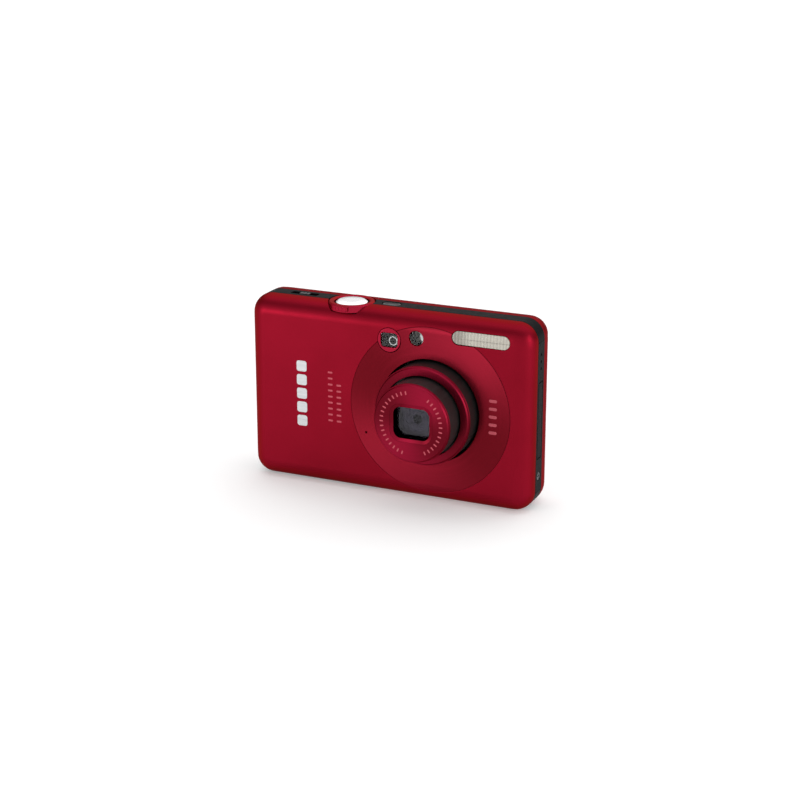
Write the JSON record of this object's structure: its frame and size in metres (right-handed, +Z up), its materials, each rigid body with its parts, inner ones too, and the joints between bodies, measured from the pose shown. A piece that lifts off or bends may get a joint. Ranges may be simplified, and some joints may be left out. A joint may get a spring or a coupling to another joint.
{
  "type": "compact digital camera",
  "caption": "Slim pocket camera with rounded metal shells, a telescoping zoom lens standing out of a round plate, a flash, a finder, top controls, a rear screen and a battery door underneath.",
  "frame": {"origin": "middle of the flat bottom face, under the middle of the body", "axes": "+X to the right seen from the front, -Y out of the lens, +Z up"},
  "size_m": [0.087, 0.0311, 0.0547],
  "materials": {
    "red_shell": "red anodised satin metal",
    "red_spun": "red spun metal",
    "red_trim": "polished red metal trim",
    "black_band": "black satin plastic",
    "black_barrel": "black satin barrel",
    "black_button": "black button",
    "screen_glass": "black screen window",
    "clear_window": "clear window",
    "lens_glass": "coated lens",
    "polished_steel": "polished",
    "steel": "bright steel",
    "cast_frame": "bare frame",
    "circuit_board": "green board",
    "white_plastic": "natural gear plastic",
    "grey_plastic": "grey moulding",
    "battery_case": "battery case"
  },
  "bodies": {
    "camera_body": {"front_cover": "red_shell", "rear_cover": "red_shell", "top_cover": "black_band", "left_side_cover": "black_band", "right_side_cover": "black_band", "bottom_cover": "black_band", "lens_ring_plate": "red_spun", "chassis": "cast_frame", "main_board": "circuit_board", "battery_holder": "grey_plastic", "battery": "battery_case", "memory_card": "grey_plastic", "tripod_socket": "steel", "lens_base": "black_barrel", "image_sensor": "lens_glass", "zoom_motor": "steel", "lcd_panel": "cast_frame", "lcd_window": "screen_glass", "flash_window": "clear_window", "flash_reflector": "polished_steel", "flash_tube": "clear_window", "flash_capacitor": "grey_plastic", "viewfinder_bezel": "red_trim", "viewfinder_window": "clear_window", "viewfinder_tunnel": "black_barrel", "viewfinder_eyepiece": "clear_window", "af_lamp_window": "clear_window", "terminal_block": "steel", "strap_bar": "steel", "case_screw_left": "steel", "case_screw_right": "steel"},
    "drive_ring": {"drive_ring": "grey_plastic"},
    "idler_gear": {"idler_gear": "white_plastic"},
    "motor_pinion": {"motor_pinion": "white_plastic"},
    "outer_barrel": {"outer_barrel": "black_barrel", "outer_barrel_cap": "red_trim"},
    "inner_barrel": {"inner_barrel": "black_barrel", "inner_barrel_cap": "red_trim", "front_lens_cell": "black_barrel", "front_lens": "lens_glass"},
    "barrier_upper": {"barrier_blade_upper": "black_barrel"},
    "barrier_lower": {"barrier_blade_lower": "black_barrel"},
    "zoom_group": {"zoom_lens_cell": "black_barrel", "zoom_lens": "lens_glass"},
    "focus_group": {"focus_carriage": "black_barrel", "focus_lens": "lens_glass"},
    "shutter_button": {"shutter_button": "polished_steel"},
    "zoom_lever": {"zoom_lever": "red_trim"},
    "power_button": {"power_button": "black_button"},
    "mode_switch": {"mode_switch": "black_button"},
    "pad_rocker": {"pad_rocker": "grey_plastic"},
    "control_pad": {"control_pad": "black_button"},
    "set_button": {"set_button": "black_button"},
    "playback_button": {"playback_button": "black_button"},
    "menu_button": {"menu_button": "black_button"},
    "display_button": {"display_button": "black_button"},
    "door_slider": {"door_slider": "steel"},
    "battery_door": {"battery_door": "black_band"},
    "battery_lock": {"battery_lock": "white_plastic"},
    "terminal_cover": {"terminal_cover": "black_band"}
  },
  "joints": [
    {"name": "drive_ring_turn", "type": "hinge", "parent": "camera_body", "child": "drive_ring", "pos_m": [0.0134, 0, 0.027], "axis": [0, 1, 0], "range_deg": [-50.5, 8.5]},
    {"name": "idler_turn", "type": "hinge", "parent": "camera_body", "child": "idler_gear", "pos_m": [0.00924, 0, 0.04656], "axis": [0, 1, 0], "range_deg": [-60, 368]},
    {"name": "motor_pinion_turn", "type": "hinge", "parent": "camera_body", "child": "motor_pinion", "pos_m": [0.01287, 0, 0.04825], "axis": [0, 1, 0], "range_deg": [-551, 89]},
    {"name": "outer_barrel_slide", "type": "slide", "parent": "camera_body", "child": "outer_barrel", "axis": [0, -1, 0], "range_m": [-0.005, 0.0008]},
    {"name": "inner_barrel_slide", "type": "slide", "parent": "outer_barrel", "child": "inner_barrel", "axis": [0, -1, 0], "range_m": [-0.00691, 0.00111]},
    {"name": "zoom_group_slide", "type": "slide", "parent": "outer_barrel", "child": "zoom_group", "axis": [0, -1, 0], "range_m": [-0.00151, 0.00025]},
    {"name": "focus_slide", "type": "slide", "parent": "camera_body", "child": "focus_group", "axis": [0, -1, 0], "range_m": [-0.00025, 0.00025]},
    {"name": "barrier_upper_close", "type": "slide", "parent": "inner_barrel", "child": "barrier_upper", "axis": [0, 0, -1], "range_m": [0, 0.0046]},
    {"name": "barrier_lower_close", "type": "slide", "parent": "inner_barrel", "child": "barrier_lower", "axis": [0, 0, 1], "range_m": [0, 0.0046]},
    {"name": "shutter_press", "type": "slide", "parent": "camera_body", "child": "shutter_button", "axis": [0, 0, -1], "range_m": [0, 0.0006], "stiffness_N_per_m": 300, "springref_m": -0.001},
    {"name": "zoom_lever_turn", "type": "hinge", "parent": "camera_body", "child": "zoom_lever", "pos_m": [-0.0134, -0.0026, 0.0535], "axis": [0, 0, 1], "range_deg": [-18, 18], "stiffness_Nm_per_rad": 0.01},
    {"name": "power_press", "type": "slide", "parent": "camera_body", "child": "power_button", "axis": [0, 0, -1], "range_m": [0, 0.0004], "stiffness_N_per_m": 300, "springref_m": -0.001},
    {"name": "mode_slide", "type": "slide", "parent": "camera_body", "child": "mode_switch", "axis": [1, 0, 0], "range_m": [-0.0024, 0.0024]},
    {"name": "pad_tilt_up_down", "type": "hinge", "parent": "camera_body", "child": "pad_rocker", "pos_m": [-0.0286, 0.0075, 0.0215], "axis": [1, 0, 0], "range_deg": [-3, 3], "stiffness_Nm_per_rad": 0.03},
    {"name": "pad_tilt_left_right", "type": "hinge", "parent": "pad_rocker", "child": "control_pad", "pos_m": [-0.0286, 0.0075, 0.0215], "axis": [0, 0, 1], "range_deg": [-3, 3], "stiffness_Nm_per_rad": 0.03},
    {"name": "set_press", "type": "slide", "parent": "camera_body", "child": "set_button", "axis": [0, -1, 0], "range_m": [0, 0.0003], "stiffness_N_per_m": 300, "springref_m": -0.001},
    {"name": "playback_press", "type": "slide", "parent": "camera_body", "child": "playback_button", "axis": [0, -1, 0], "range_m": [0, 0.0003], "stiffness_N_per_m": 300, "springref_m": -0.001},
    {"name": "menu_press", "type": "slide", "parent": "camera_body", "child": "menu_button", "axis": [0, -1, 0], "range_m": [0, 0.0003], "stiffness_N_per_m": 300, "springref_m": -0.001},
    {"name": "display_press", "type": "slide", "parent": "camera_body", "child": "display_button", "axis": [0, -1, 0], "range_m": [0, 0.0003], "stiffness_N_per_m": 300, "springref_m": -0.001},
    {"name": "battery_door_slide", "type": "slide", "parent": "camera_body", "child": "door_slider", "axis": [-1, 0, 0], "range_m": [0, 0.002]},
    {"name": "battery_door_swing", "type": "hinge", "parent": "door_slider", "child": "battery_door", "pos_m": [-0.00545, 0, 0.00085], "axis": [0, -1, 0], "range_deg": [0, 95]},
    {"name": "battery_lock_slide", "type": "slide", "parent": "camera_body", "child": "battery_lock", "axis": [0, -1, 0], "range_m": [0, 0.0013], "stiffness_N_per_m": 300, "springref_m": -0.001},
    {"name": "terminal_cover_swing", "type": "hinge", "parent": "camera_body", "child": "terminal_cover", "pos_m": [0.04345, 0.00035, 0.026], "axis": [0, 0, 1], "range_deg": [0, 100]}
  ],
  "couplings": [
    {"joint": "drive_ring_turn", "follows": "outer_barrel_slide", "rad_per_m": 174.53},
    {"joint": "idler_turn", "follows": "outer_barrel_slide", "rad_per_m": -1279.9},
    {"joint": "motor_pinion_turn", "follows": "outer_barrel_slide", "rad_per_m": 1919.9},
    {"joint": "inner_barrel_slide", "follows": "outer_barrel_slide", "ratio": 1.38},
    {"joint": "zoom_group_slide", "follows": "outer_barrel_slide", "ratio": 0.3},
    {"joint": "barrier_lower_close", "follows": "barrier_upper_close", "ratio": 1}
  ]
}
